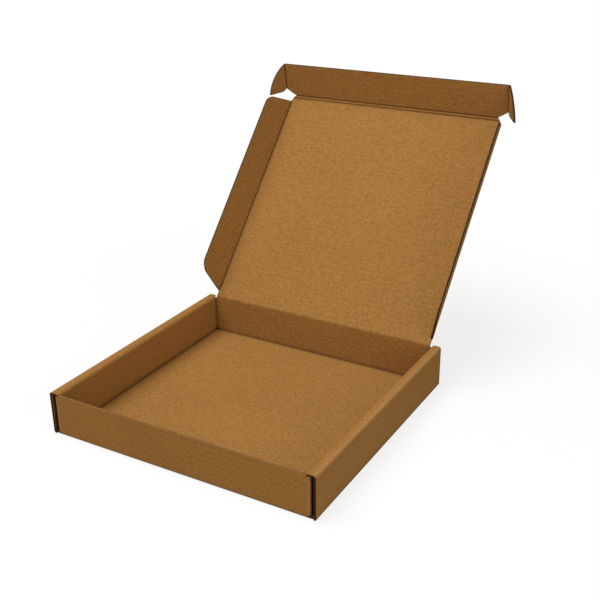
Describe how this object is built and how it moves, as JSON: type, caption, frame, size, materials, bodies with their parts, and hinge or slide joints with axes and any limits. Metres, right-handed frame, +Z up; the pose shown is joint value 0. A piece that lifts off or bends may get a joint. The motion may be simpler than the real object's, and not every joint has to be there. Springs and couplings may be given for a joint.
{
  "type": "mailer box",
  "caption": "Corrugated mailer box folded from one sheet, with double side walls and a hinged lid with side flaps, a front panel and lock ears that shut it.",
  "frame": {"origin": "middle of the base's underside", "axes": "+Z up, +X to the right of someone facing the open box, +Y towards the hinged back wall"},
  "size_m": [0.384, 0.5555, 0.3507],
  "materials": {
    "kraft": "matte",
    "kraft_shade": "matte"
  },
  "bodies": {
    "tray": {"tray": "kraft"},
    "lid": {"lid": "kraft"},
    "left_flap": {"left_flap": "kraft_shade"},
    "right_flap": {"right_flap": "kraft_shade"},
    "crease_band": {"crease_band": "kraft"},
    "front_panel": {"front_panel": "kraft"},
    "left_ear": {"left_ear": "kraft_shade"},
    "right_ear": {"right_ear": "kraft_shade"}
  },
  "joints": [
    {"name": "lid_hinge", "type": "hinge", "parent": "tray", "child": "lid", "pos_m": [0, 0.1641, 0.0553], "axis": [-1, 0, 0], "range_deg": [-132.5, 47.5]},
    {"name": "left_flap_fold", "type": "hinge", "parent": "lid", "child": "left_flap", "pos_m": [-0.1651, 0.1641, 0.0553], "axis": [0, -0.6756, -0.7373], "range_deg": [-31.8, 11.4]},
    {"name": "right_flap_fold", "type": "hinge", "parent": "lid", "child": "right_flap", "pos_m": [0.1651, 0.1641, 0.0553], "axis": [0, 0.6756, 0.7373], "range_deg": [-31.8, 11.4]},
    {"name": "crease_band_fold", "type": "hinge", "parent": "lid", "child": "crease_band", "pos_m": [0, 0.38738, 0.29897], "axis": [-1, 0, 0], "range_deg": [-19, 26]},
    {"name": "front_panel_fold", "type": "hinge", "parent": "crease_band", "child": "front_panel", "pos_m": [0, 0.38869, 0.30338], "axis": [-1, 0, 0], "range_deg": [-19, 26]},
    {"name": "left_ear_fold", "type": "hinge", "parent": "front_panel", "child": "left_ear", "pos_m": [-0.17505, 0.38869, 0.30338], "axis": [0, 0.165, -0.9863], "range_deg": [-33, 57]},
    {"name": "right_ear_fold", "type": "hinge", "parent": "front_panel", "child": "right_ear", "pos_m": [0.17505, 0.38869, 0.30338], "axis": [0, -0.165, 0.9863], "range_deg": [-33, 57]}
  ],
  "couplings": [
    {"joint": "left_flap_fold", "follows": "lid_hinge", "ratio": 0.24},
    {"joint": "right_flap_fold", "follows": "lid_hinge", "ratio": 0.24}
  ]
}
